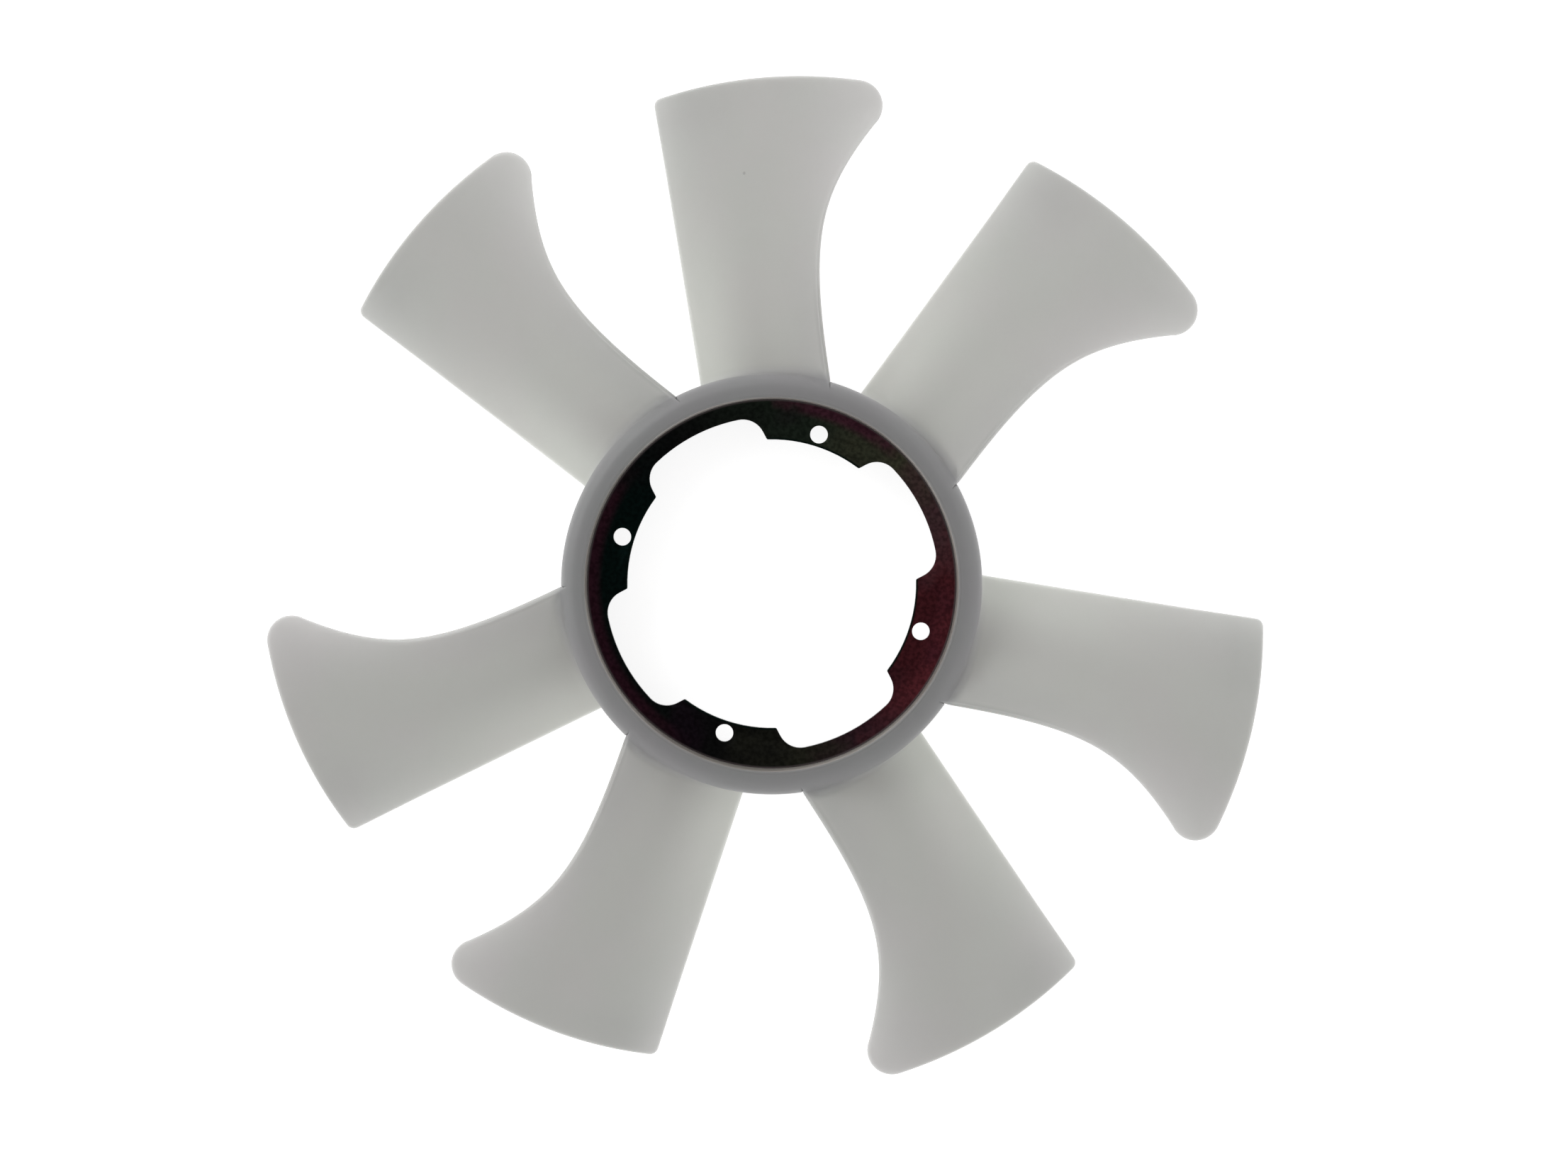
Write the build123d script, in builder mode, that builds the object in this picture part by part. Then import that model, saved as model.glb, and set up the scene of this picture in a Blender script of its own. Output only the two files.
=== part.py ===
# Seven-blade cooling fan: a one-piece plastic moulding on a stamped steel mounting ring.
# Frame: origin at the centre of the bolt circle, on the front face of the steel.
# +Z runs along the axis towards the front, +X runs through a bolt hole. Millimetres.
import os
from math import acos, atan, cos, degrees, hypot, radians, sin, tan

from build123d import *

os.makedirs("parts", exist_ok=True)

# Steel insert: sheet with four lugs, stepped forward where the plastic grips it
SHEET = 2.5
BOLT_CIRCLE = 124.0
BOLT_HOLE = 7.0
BOLT_COUNT = 4
LUG_RADIUS = 57.2
LUG_CORNER = 0.8
NOTCH_RADIUS = 66.2
NOTCH_WIDTH = 49.4
NOTCH_CORNER = 9.0
STEP_START = 70.2
STEP_END = 72.6
STEP_RISE = 1.2
INSERT_RADIUS = 79.0
ANCHOR_CIRCLE = 152.0
ANCHOR_HOLE = 5.0
ANCHOR_COUNT = 4

# Hub ring: rim in front, skirt behind, inner flange under the steel
HUB_RADIUS = 83.0
HUB_FRONT = 10.0
HUB_REAR = -40.0
RIM_ROUND = 5.0
RECESS_RADIUS = 73.0
RECESS_DRAFT = 2.0
RECESS_BEVEL = 0.8
FLANGE_RADIUS = 71.5
FLANGE_REAR = -8.0
SKIRT_WALL = 4.5
SKIRT_DRAFT = 1.0
SKIRT_BEVEL = 2.0
REAR_BEVEL = 0.8
RECESS_MOUTH = RECESS_RADIUS + HUB_FRONT * tan(radians(RECESS_DRAFT))
SKIRT_MOUTH = HUB_RADIUS - SKIRT_WALL
SKIRT_RADIUS = SKIRT_MOUTH - (FLANGE_REAR - HUB_REAR) * tan(radians(SKIRT_DRAFT))

# Blades, in the frame of one blade: x along its radius, y against its travel, z to the front
BLADE_ANGLES = (10.8, 73.8, 119.2, 162.4, 226.0, 271.5, 323.9)
TIP_RADIUS = 200.8
TRAILING_HEIGHT = -34.0
TRAILING_OFFSET = 8.0
TRAILING_LEAN = 0.041
TRAILING_CORNER = 3.0
HOOK_RADIUS = 10.5
HOOK_ANGLE = -21.6
HOOK_TURN = 119.4
HOOK_OVERRUN = 16.0
TIP_OVERRUN = 5.0
LEADING_STEPS = 4
LEADING_POINTS = ((62.0, -38.4), (110.0, -42.4), (140.0, -51.4), (168.6, -76.3))
LEADING_ROOT_LEAN = (1.0, -0.06)
LEADING_HOOK_LEAN = (0.63, -0.78)
ROOT_SLOPE = 0.95
TIP_SLOPE = 0.665
ROOT_THICKNESS = 4.2
TIP_THICKNESS = 2.6
ROOT_EDGE = 2.8
TIP_EDGE = 1.3
CAMBER = 0.0026
ROOT_FILLET = 4.0
ROOT_CUT = 79.2
OUTLINE_REACH = 120.0
ON_WALL = 0.01
LEAN_ANGLE = degrees(atan(TRAILING_LEAN))
TRAILING_DISTANCE = (TRAILING_OFFSET + TRAILING_LEAN * TIP_RADIUS) * cos(radians(LEAN_ANGLE))
CORNER_ANGLE = 90 - LEAN_ANGLE - degrees(
    acos((TRAILING_DISTANCE - TRAILING_CORNER) / (TIP_RADIUS - TRAILING_CORNER))
)


def polar(radius, angle):
    """Point of the plan at a radius and an angle in degrees."""
    return (radius * cos(radians(angle)), radius * sin(radians(angle)))


def trailing_y(x):
    """Straight line of the trailing edge in plan."""
    return TRAILING_OFFSET + TRAILING_LEAN * (TIP_RADIUS - x)


def share_out(x):
    """Share of the way from hub to tip, eased at both ends."""
    share = min(max((x - HUB_RADIUS) / (TIP_RADIUS - HUB_RADIUS), 0), 1)
    return share**2 * (3 - 2 * share)


def section_point(slope, along, depth):
    """Point of a section: distance from the trailing edge, depth square to the front face."""
    tilt = slope - 2 * CAMBER * along
    drop = depth / hypot(1, tilt)
    return (along + drop * tilt, slope * along - CAMBER * along**2 - drop)


def section_curve(slope, chord, edge, middle):
    """Parabola of a section between its two edges, through the depth halfway."""
    first = Vector(*section_point(slope, 0, edge))
    halfway = Vector(*section_point(slope, chord / 2, middle))
    last = Vector(*section_point(slope, chord, edge))
    return Bezier(first, 2 * halfway - (first + last) / 2, last)


def corner(x, y):
    """Corner of the current sketch nearest to a point."""
    return vertices().sort_by_distance((x, y))[0]


def lies_on_hub(edge):
    """True for an edge whose middle is on the hub's outer wall."""
    middle = edge @ 0.5
    return abs(hypot(middle.X, middle.Y) - HUB_RADIUS) < ON_WALL


# Steel insert
with BuildPart() as steel_insert:
    with BuildSketch(Plane.XZ):
        with BuildLine():
            Polyline(
                (0, -SHEET),
                (STEP_START, -SHEET),
                (STEP_END, STEP_RISE - SHEET),
                (INSERT_RADIUS, STEP_RISE - SHEET),
                (INSERT_RADIUS, STEP_RISE),
                (STEP_END, STEP_RISE),
                (STEP_START, 0),
                (0, 0),
                close=True,
            )
        make_face()
    revolve(axis=Axis.Z)
    # Two crossed slots with an arc at their ends leave four lugs on the inner circle
    with BuildSketch(Plane.XY.offset(-SHEET)):
        with PolarLocations(0, BOLT_COUNT // 2, start_angle=180 / BOLT_COUNT, angular_range=180):
            Rectangle(2 * INSERT_RADIUS, NOTCH_WIDTH)
        Circle(NOTCH_RADIUS, mode=Mode.INTERSECT)
        fillet(vertices().group_by(SortBy.DISTANCE)[-1], NOTCH_CORNER)
        Circle(LUG_RADIUS)
        fillet(vertices().group_by(SortBy.DISTANCE)[0], LUG_CORNER)
    extrude(amount=SHEET, mode=Mode.SUBTRACT)
    with PolarLocations(BOLT_CIRCLE / 2, BOLT_COUNT):
        Hole(BOLT_HOLE / 2)
    with PolarLocations(ANCHOR_CIRCLE / 2, ANCHOR_COUNT):
        Hole(ANCHOR_HOLE / 2)
steel_insert.part.label = "steel_insert"

# One blade: twisted cambered sections set square to its radius, then the tip cut to its outline
with BuildLine():
    leading = Spline(*LEADING_POINTS, tangents=(LEADING_ROOT_LEAN, LEADING_HOOK_LEAN))
    overrun = Line(leading @ 1, leading @ 1 + HOOK_OVERRUN * (leading % 1))
stations = [leading @ (n / LEADING_STEPS) for n in range(LEADING_STEPS + 1)]
stations += [overrun @ 1, Vector(TIP_RADIUS + TIP_OVERRUN, (overrun @ 1).Y)]
with BuildPart() as blade:
    for point in stations:
        share = share_out(point.X)
        slope = ROOT_SLOPE + (TIP_SLOPE - ROOT_SLOPE) * share
        wall = ROOT_THICKNESS + (TIP_THICKNESS - ROOT_THICKNESS) * share
        edge = ROOT_EDGE + (TIP_EDGE - ROOT_EDGE) * share
        chord = trailing_y(point.X) - point.Y
        # The back face reaches furthest forward, so the front face's edge stays behind the outline
        front_chord = 2 * chord - section_point(slope, chord, edge)[0]
        section = Plane((point.X, trailing_y(point.X), TRAILING_HEIGHT), x_dir=(0, -1, 0), z_dir=(-1, 0, 0))
        with BuildSketch(section):
            with BuildLine():
                front = section_curve(slope, front_chord, 0, 0)
                back = section_curve(slope, front_chord, edge, wall)
                Line(front @ 0, back @ 0)
                Line(front @ 1, back @ 1)
            make_face()
    loft()
    with BuildSketch(Plane.XY.offset(HUB_REAR)):
        with BuildLine():
            hook_centre = polar(TIP_RADIUS - HOOK_RADIUS, HOOK_ANGLE)
            hook = CenterArc(hook_centre, HOOK_RADIUS, HOOK_ANGLE, -HOOK_TURN)
            CenterArc((0, 0), TIP_RADIUS, HOOK_ANGLE, CORNER_ANGLE - HOOK_ANGLE)
            corner_centre = polar(TIP_RADIUS - TRAILING_CORNER, CORNER_ANGLE)
            heel = CenterArc(corner_centre, TRAILING_CORNER, CORNER_ANGLE, 90 - LEAN_ANGLE - CORNER_ANGLE)
            Polyline(
                hook @ 1,
                hook @ 1 + Vector(-HOOK_OVERRUN, -OUTLINE_REACH),
                (0, -OUTLINE_REACH),
                (0, OUTLINE_REACH),
                heel @ 1 + Vector(-TRAILING_CORNER, TRAILING_CORNER),
                heel @ 1,
            )
        make_face()
    extrude(amount=OUTLINE_REACH, mode=Mode.INTERSECT)
    Cylinder(ROOT_CUT, OUTLINE_REACH, mode=Mode.SUBTRACT)

# Hub ring with its seven blades, moulded round the edge of the steel
with BuildPart() as fan_moulding:
    with BuildSketch(Plane.XZ):
        with BuildLine():
            Polyline(
                (-FLANGE_RADIUS, FLANGE_REAR),
                (-FLANGE_RADIUS, -SHEET / 2),
                (-RECESS_RADIUS, 0),
                (-RECESS_MOUTH, HUB_FRONT),
                (-HUB_RADIUS, HUB_FRONT),
                (-HUB_RADIUS, HUB_REAR),
                (-SKIRT_MOUTH, HUB_REAR),
                (-SKIRT_RADIUS, FLANGE_REAR),
                close=True,
            )
        make_face()
        fillet(corner(-HUB_RADIUS, HUB_FRONT), RIM_ROUND)
        chamfer(corner(-RECESS_MOUTH, HUB_FRONT), RECESS_BEVEL)
        chamfer(corner(-SKIRT_RADIUS, FLANGE_REAR), SKIRT_BEVEL)
        chamfer(corner(-FLANGE_RADIUS, FLANGE_REAR), REAR_BEVEL)
        chamfer(corner(-SKIRT_MOUTH, HUB_REAR), REAR_BEVEL)
    revolve(axis=Axis.Z)
    for angle in BLADE_ANGLES:
        add(blade.part, rotation=(0, 0, angle))
    root_edges = edges().filter_by(GeomType.BSPLINE).filter_by(lies_on_hub)
    fillet(root_edges.sort_by(SortBy.LENGTH)[-2 * len(BLADE_ANGLES) :], ROOT_FILLET)
    add(steel_insert.part, mode=Mode.SUBTRACT)
fan_moulding.part.label = "fan_moulding"

export_step(fan_moulding.part, "parts/fan_moulding.step")
export_step(steel_insert.part, "parts/steel_insert.step")
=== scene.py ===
# Seven-blade cooling fan: a milky plastic moulding on a dark, iridescent steel ring.
from math import acos, atan2, cos, hypot, pi, radians, sin, sqrt, tan

import bmesh
import bpy
import numpy as np
from mathutils import Matrix, Vector
from mathutils.geometry import delaunay_2d_cdt


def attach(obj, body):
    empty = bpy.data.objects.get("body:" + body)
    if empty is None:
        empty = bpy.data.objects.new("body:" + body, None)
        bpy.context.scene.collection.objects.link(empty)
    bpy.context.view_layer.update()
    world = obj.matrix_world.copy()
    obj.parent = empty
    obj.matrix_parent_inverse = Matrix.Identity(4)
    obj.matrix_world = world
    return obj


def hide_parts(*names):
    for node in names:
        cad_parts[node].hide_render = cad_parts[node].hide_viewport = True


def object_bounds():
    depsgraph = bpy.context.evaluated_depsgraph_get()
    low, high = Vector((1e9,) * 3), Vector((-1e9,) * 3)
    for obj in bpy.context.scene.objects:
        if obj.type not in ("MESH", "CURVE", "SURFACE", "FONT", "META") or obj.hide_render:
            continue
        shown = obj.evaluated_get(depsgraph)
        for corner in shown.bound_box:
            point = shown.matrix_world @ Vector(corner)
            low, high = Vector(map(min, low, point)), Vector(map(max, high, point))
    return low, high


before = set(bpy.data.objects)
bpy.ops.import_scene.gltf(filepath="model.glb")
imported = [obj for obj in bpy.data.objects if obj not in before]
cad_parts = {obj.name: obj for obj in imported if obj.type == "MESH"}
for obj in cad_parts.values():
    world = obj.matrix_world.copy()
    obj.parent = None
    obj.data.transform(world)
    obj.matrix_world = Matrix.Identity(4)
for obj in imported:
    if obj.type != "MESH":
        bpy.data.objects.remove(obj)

CAD_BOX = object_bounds()
MM = 0.001

# Hub ring, in millimetres: rim in front, skirt behind, slot for the edge of the steel
HUB_RADIUS = 83.0
HUB_FRONT = 10.0
HUB_REAR = -40.0
RIM_ROUND = 5.0
RECESS_RADIUS = 73.0
RECESS_DRAFT = 2.0
RECESS_ROUND = 0.8
FLANGE_RADIUS = 71.5
FLANGE_REAR = -8.0
SKIRT_WALL = 4.5
SKIRT_DRAFT = 1.0
SKIRT_ROUND = 2.5
REAR_ROUND = 0.8
SHEET = 2.5
STEP_START = 70.2
STEP_END = 72.6
STEP_RISE = 1.2
INSERT_RADIUS = 79.0
RIM_CENTRE_RADIUS = HUB_RADIUS - RIM_ROUND
RIM_CENTRE_HEIGHT = HUB_FRONT - RIM_ROUND
RECESS_MOUTH = RECESS_RADIUS + HUB_FRONT * tan(radians(RECESS_DRAFT))

# Blades, in millimetres and degrees, in the frame of one blade: x along its radius, z to the front
BLADE_ANGLES = (10.8, 73.8, 119.2, 162.4, 226.0, 271.5, 323.9)
TIP_RADIUS = 200.8
TRAILING_HEIGHT = -34.0
TRAILING_OFFSET = 8.0
TRAILING_LEAN = 0.041
TRAILING_CORNER = 3.0
HOOK_RADIUS = 10.5
HOOK_ANGLE = -21.6
HOOK_OVERRUN = 16.0
TIP_OVERRUN = 5.0
LEADING_POINTS = ((62.0, -38.4), (110.0, -42.4), (140.0, -51.4), (168.6, -76.3))
LEADING_ROOT_LEAN = (1.0, -0.06)
LEADING_HOOK_LEAN = (0.63, -0.78)
ROOT_SLOPE = 0.95
TIP_SLOPE = 0.665
ROOT_THICKNESS = 4.2
TIP_THICKNESS = 2.6
ROOT_EDGE = 2.8
TIP_EDGE = 1.3
CAMBER = 0.0026
ROOT_FILLET = 4.0
FILLET_ROOM_SHARE = 0.9
EDGE_ROUND = 0.6
UPRIGHT_FADE = 30.0

# Steel ring: round of its punched edges in millimetres, and the least angle of such an edge
PUNCHED_ROUND = 0.25
PUNCHED_ANGLE = 50

# Fineness of the hub's mesh, with its seam between two blades
HUB_COLUMNS = 360
SEAM = radians(185.0)
HUB_TOP_ROWS = 4
HUB_RIM_ROWS = 9
HUB_WALL_ROWS = 16
SKIRT_SHARES = (0.25, 0.5, 0.75)
CORNER_STEPS = 4
ROOT_CLEARANCE = 0.6

# Fineness of a blade's mesh: shares of the edge's round, numbers of steps, rows by their radius
EDGE_STEPS = (0.0, 0.03, 0.12, 0.3, 0.6, 1.0)
WIDEST_EDGE_SHARE = 0.2
CHORD_STEPS = 36
FILLET_STEPS = 7
WALL_STEPS = 4
TIP_ROWS = 8
TIP_ROW_GROWTH = 0.06
HOOK_ROW_GAP = 1.0
HOOK_ROWS_END = 178.0
SPAN_ROWS_END = 96.0
SPAN_ROWS = 32
START_ROWS = 5
LEADING_LINE_STEPS = 60
OUTLINE_START = 60.0
OUTLINE_SIDE_STEPS = 700
OUTLINE_TIP_STEPS = 200

# Searches: numbers of passes, radii between which a fillet ends, and the smallest values that count
BACK_PASSES = 6
SETTLE_PASSES = 4
HALVINGS = 22
FILLET_SEARCH = (70.0, 100.0)
SLOPE_STEP = 0.05
POINTS_AT_ONCE = 500
SMALLEST_SQUARE = 1e-12
SMALLEST_REACH = 1e-9
SHEET_TOLERANCE = 1e-6

# Joining and smoothing of the meshes, in millimetres and degrees
JOIN_DISTANCE = 0.02
STEEL_JOIN_DISTANCE = 0.002
STEEL_FLAT_ANGLE = 0.5
STEEL_ROUND_STEPS = 2
PLASTIC_SHARP_ANGLE = 38
STEEL_SHARP_ANGLE = 35

# Colours of the blades at root and tip, painted with light and shade: along the middle, the trailing side
# and the leading side. Painted light makes the trailing root palest, painted shade darkens the leading
# root, and all grow darker towards the tip
MIDDLE_LIGHT_AND_SHADE = ((0.478, 0.478, 0.456), (0.410, 0.408, 0.395))
TRAILING_LIGHT_AND_SHADE = ((0.612, 0.618, 0.589), (0.357, 0.356, 0.346))
LEADING_LIGHT_AND_SHADE = ((0.440, 0.439, 0.424), (0.426, 0.420, 0.413))

# Colours of the hub: painted shade from its wall over the rim, darkest at the mouth of the recess, and
# painted light down its wall
RIM_PAINTED_SHADE = ((0.268, 0.266, 0.270), (0.198, 0.197, 0.199))
MOUTH_PAINTED_SHADE = (0.170, 0.168, 0.168)
RECESS_PAINTED_LIGHT = (0.285, 0.262, 0.240)

# Zones of those colours and their painted light and shade in millimetres, from where each begins to where
# it is full
SPAN_RADII = (85.0, 190.0)
TRAILING_HEIGHTS = (-9.0, -28.0)
LEADING_HEIGHTS = (-6.0, 6.0)
RIM_RADII = (83.0, 75.0)
MOUTH_RADII = (74.9, 74.2)
RECESS_RADII = (73.7, 73.3)
# Painted shade of the hub carried over the blades' roots, fading towards the trailing edge's height, and
# over the hub's walls
ROOT_SHADE_RADII = (88.0, 81.5)
ROOT_SHADE_HEIGHTS = (-34.0, -8.0)
HUB_WALL_SHADE_RADII = (84.2, 83.0)

# Faint clouds of rose and green in the plastic
CLOUD_COLOURS = ((0.46, 0.42, 0.44), (0.42, 0.47, 0.42))
CLOUD_SCALE = 28.0
CLOUD_RANGE = (0.35, 0.65)
CLOUD_SHARE = 0.06

# Shade along the leading edge: its colour, its share on the edge's wall, radii where it comes and goes
LEADING_SHADE = (0.84, 0.84, 0.84)
LEADING_WALL_SHADE = 0.2
LEADING_SHADE_START = (83.0, 88.0)
LEADING_SHADE_END = (92.0, 142.0)

# One dark speck in the plastic: its radius, its blade and its angle from that blade's own
SPECK_RADIUS = 163.7
SPECK_BLADE = 2
SPECK_ANGLE = -7.76
SPECK_REACH = (0.9, 0.3)
SPECK_SHARE = 0.5
SPECK_COLOUR = (0.20, 0.20, 0.19)

# Satin surface of the plastic, with a fine grain
PLASTIC_FINISH = {
    "Roughness": 0.45,
    "Subsurface Weight": 1.0,
    "Subsurface Radius": (1.0, 1.0, 1.0),
    "Subsurface Scale": 6.0 * MM,
}
GRAIN_SCALE = 900.0
GRAIN_STRENGTH = 0.05
GRAIN_DEPTH = 0.2

# Colours of the chromate round the steel, by the angle of the frame in degrees, all at full cover
TEAL_BLACK = (0.0015, 0.0040, 0.0035)
BLACK = (0.0035, 0.0035, 0.0035)
DARK_OLIVE = (0.010, 0.010, 0.007)
DARK_PLUM = (0.014, 0.0065, 0.0085)
CRIMSON = (0.036, 0.0075, 0.0095)
BROWN = (0.034, 0.017, 0.019)
OLIVE = (0.029, 0.029, 0.018)
GREEN = (0.009, 0.013, 0.009)
CHROMATE_TINTS = (
    (-165, TEAL_BLACK, 1.0),
    (-90, BLACK, 1.0),
    (-62, DARK_OLIVE, 1.0),
    (-45, DARK_PLUM, 1.0),
    (-15, CRIMSON, 1.0),
    (15, CRIMSON, 1.0),
    (40, BROWN, 1.0),
    (60, OLIVE, 1.0),
    (95, GREEN, 1.0),
    (140, BLACK, 1.0),
    (165, TEAL_BLACK, 1.0),
)

# Tints of the outer edge of the steel, by the same angle, and how far each covers the rest
PLUM = (0.018, 0.005, 0.009)
ROSE = (0.032, 0.009, 0.016)
EDGE_TINTS = (
    (-175, PLUM, 0.8),
    (-120, PLUM, 0.8),
    (-95, PLUM, 0.0),
    (62, ROSE, 0.0),
    (75, ROSE, 0.9),
    (95, ROSE, 0.9),
    (107, ROSE, 0.0),
    (150, PLUM, 0.0),
    (175, PLUM, 0.8),
)
EDGE_TINT_RADII = (66.5, 70.5)

# Other marks of the steel: patches that shift the tints, violet clouds, flecks and its two borders
PATCH_SCALE = 60.0
PATCH_DETAIL = 3.0
PATCH_SHIFT = 0.12
VIOLET = (0.008, 0.003, 0.007)
VIOLET_SCALE = 34.0
VIOLET_RANGE = (0.44, 0.30)
VIOLET_SHARE = 0.4
FLECK_TONES = ((0.4, 0.4, 0.4), (1.5, 1.5, 1.5))
FLECK_SCALE = 600.0
FLECK_RANGE = (0.3, 0.7)
FLECK_SHARE = 0.5
LUG_END_COLOUR = (0.002, 0.005, 0.004)
LUG_END_RADII = (58.3, 57.5)
STEEL_BORDER_COLOUR = (0.050, 0.042, 0.042)
STEEL_BORDER_RADII = (72.1, 72.9)
STEEL_FINISH = {"Metallic": 1.0, "Roughness": 0.32}

# Floor, lights and camera: lengths in metres, the lens and its sensor in millimetres
FLOOR_REACH = 30.0
FLOOR_COLOUR = (0.6, 0.6, 0.6, 1.0)
FLOOR_GLOW = 1.0
FLOOR_GLOW_SEEN = 0.73
ROOM_LIGHT = 0.75
SOFTBOX_POWER = 6.0
SOFTBOX_SIZE = 1.0
SOFTBOX_PLACE = (-0.95, 0.33, 1.2)
CAMERA_BACK = (-0.00328, 0.03837, 1.0)
CAMERA_UP = (-0.3019, 0.9533, 0.0)
CAMERA_DISTANCE = 1.1
SENSOR_WIDTH = 36.0
LENS = 63.8
LENS_SHIFT = (0.0079, -0.0025)


def mix(low, high, share):
    """Value a share of the way between two others."""
    return low + (high - low) * share


def ease(low, high, value):
    """Smooth rise from 0 at low to 1 at high."""
    share = np.clip((value - low) / (high - low), 0, 1)
    return share**2 * (3 - 2 * share)


def polar(radius, angle):
    """Point of the plan at a radius and an angle in radians."""
    return radius * np.array((cos(angle), sin(angle)))


def spline_through(points, start_lean, end_lean, count):
    """Points on a cubic spline with the given leans at its two ends."""
    points = np.array(points)
    spans = np.linalg.norm(np.diff(points, axis=0), axis=1)
    leans = np.zeros_like(points)
    leans[0] = np.array(start_lean) / np.linalg.norm(start_lean)
    leans[-1] = np.array(end_lean) / np.linalg.norm(end_lean)
    inner = len(points) - 2
    matrix = np.zeros((inner, inner))
    right = np.zeros((inner, 2))
    for n in range(inner):
        before, after = spans[n], spans[n + 1]
        matrix[n, n] = 2 * (before + after)
        right[n] = 3 * (
            after * (points[n + 1] - points[n]) / before + before * (points[n + 2] - points[n + 1]) / after
        )
        if n > 0:
            matrix[n, n - 1] = after
        else:
            right[n] -= after * leans[0]
        if n < inner - 1:
            matrix[n, n + 1] = before
        else:
            right[n] -= before * leans[-1]
    leans[1:-1] = np.linalg.solve(matrix, right)
    drawn = []
    for n, span in enumerate(spans):
        t = np.linspace(0, 1, count, endpoint=n == len(spans) - 1)[:, None]
        drawn.append(
            (1 + 2 * t) * (1 - t) ** 2 * points[n]
            + t * (1 - t) ** 2 * span * leans[n]
            + t**2 * (3 - 2 * t) * points[n + 1]
            - t**2 * (1 - t) * span * leans[n + 1]
        )
    return np.concatenate(drawn)


# Outline of a blade as two angles for each radius
LEADING_LINE = spline_through(LEADING_POINTS, LEADING_ROOT_LEAN, LEADING_HOOK_LEAN, LEADING_LINE_STEPS)
LEADING_RADII = np.hypot(LEADING_LINE[:, 0], LEADING_LINE[:, 1])
LEADING_ANGLES = np.arctan2(LEADING_LINE[:, 1], LEADING_LINE[:, 0])
HOOK_START = LEADING_RADII[-1]
OVERRUN_END = LEADING_LINE[-1] + HOOK_OVERRUN * np.array(LEADING_HOOK_LEAN) / hypot(*LEADING_HOOK_LEAN)
TRAILING_DISTANCE = (TRAILING_OFFSET + TRAILING_LEAN * TIP_RADIUS) / hypot(1, TRAILING_LEAN)
TRAILING_NORMAL = atan2(1, TRAILING_LEAN)
CORNER_RADIUS = TIP_RADIUS - TRAILING_CORNER
CORNER_ANGLE = TRAILING_NORMAL - acos((TRAILING_DISTANCE - TRAILING_CORNER) / CORNER_RADIUS)
CORNER_START = np.linalg.norm(
    polar(CORNER_RADIUS, CORNER_ANGLE) + polar(TRAILING_CORNER, TRAILING_NORMAL)
)


def angle_on_round(radius, bend):
    """Angle from the centre of a round of the outline to its edge, at a radius of the fan."""
    middle = TIP_RADIUS - bend
    return np.arccos(np.clip((radius**2 + middle**2 - bend**2) / (2 * radius * middle), -1, 1))


def trailing_angle(radius):
    """Angle of the trailing edge at a radius: a straight line, then the round corner."""
    line = TRAILING_NORMAL - np.arccos(TRAILING_DISTANCE / radius)
    return np.where(radius < CORNER_START, line, CORNER_ANGLE + angle_on_round(radius, TRAILING_CORNER))


def leading_angle(radius):
    """Angle of the leading edge at a radius: a curve, then the round of the hook."""
    curve = np.interp(radius, LEADING_RADII, LEADING_ANGLES)
    return np.where(radius < HOOK_START, curve, radians(HOOK_ANGLE) - angle_on_round(radius, HOOK_RADIUS))


def share_out(x):
    """Share of the way from hub to tip, eased at both ends."""
    return ease(HUB_RADIUS, TIP_RADIUS, x)


def blade_slope(x):
    """Slope of the front face at the trailing edge."""
    return mix(ROOT_SLOPE, TIP_SLOPE, share_out(x))


def from_trailing(x, y):
    """Distance from the line of the trailing edge."""
    return TRAILING_OFFSET + TRAILING_LEAN * (TIP_RADIUS - x) - y


def blade_chord(x):
    """Distance from trailing to leading edge, carried on straight past the hook."""
    out = (*LEADING_LINE[:, 0], OVERRUN_END[0], TIP_RADIUS + TIP_OVERRUN)
    across = (*LEADING_LINE[:, 1], OVERRUN_END[1], OVERRUN_END[1])
    return from_trailing(x, np.interp(x, out, across))


def edge_thickness(x):
    """Thickness of the wall at its trailing and leading edges."""
    return mix(ROOT_EDGE, TIP_EDGE, share_out(x))


def blade_thickness(x, along):
    """Thickness of the wall, full at half the chord and thin at both edges."""
    share = np.clip(along / blade_chord(x), 0, 1)
    wall = mix(ROOT_THICKNESS, TIP_THICKNESS, share_out(x))
    return mix(edge_thickness(x), wall, 4 * share * (1 - share))


def front_height(x, y):
    """Height of the front face, twisted and cambered."""
    along = from_trailing(x, y)
    return TRAILING_HEIGHT + blade_slope(x) * along - CAMBER * along**2


def back_height(x, y):
    """Height of the back face, set square to the front face by the thickness."""
    target = from_trailing(x, y)
    along = target.copy()
    for _ in range(BACK_PASSES):
        tilt = blade_slope(x) - 2 * CAMBER * along
        drop = blade_thickness(x, along) / np.hypot(1, tilt)
        along = target - drop * tilt
    return TRAILING_HEIGHT + blade_slope(x) * along - CAMBER * along**2 - drop


def edge_square(radius, leading):
    """How far an edge's wall is square to the blade: 1 along it, 0 where the tip is cut upright."""
    end = HOOK_START if leading else CORNER_RADIUS
    return 1 - ease(end - UPRIGHT_FADE, end, radius)


def edge_overhang(radius, leading):
    """How far one face's edge stands back from the other's in plan."""
    x = radius * np.cos(leading_angle(radius) if leading else trailing_angle(radius))
    tilt = blade_slope(x) - 2 * CAMBER * blade_chord(x) * leading
    reach = edge_thickness(x) * tilt / np.hypot(1, tilt)
    return reach * edge_square(radius, leading)


def face_ends(radius, front):
    """Angles at which a face ends at its trailing and its leading edge."""
    first = trailing_angle(radius)
    last = leading_angle(radius)
    if front:
        return first, last + edge_overhang(radius, True) / radius
    return first - edge_overhang(radius, False) / radius, last


def plan(radius, share, front):
    """Plan position on a face: radius and share of the chord from trailing to leading edge."""
    angle = mix(*face_ends(radius, front), share)
    return radius * np.cos(angle), radius * np.sin(angle)


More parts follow.
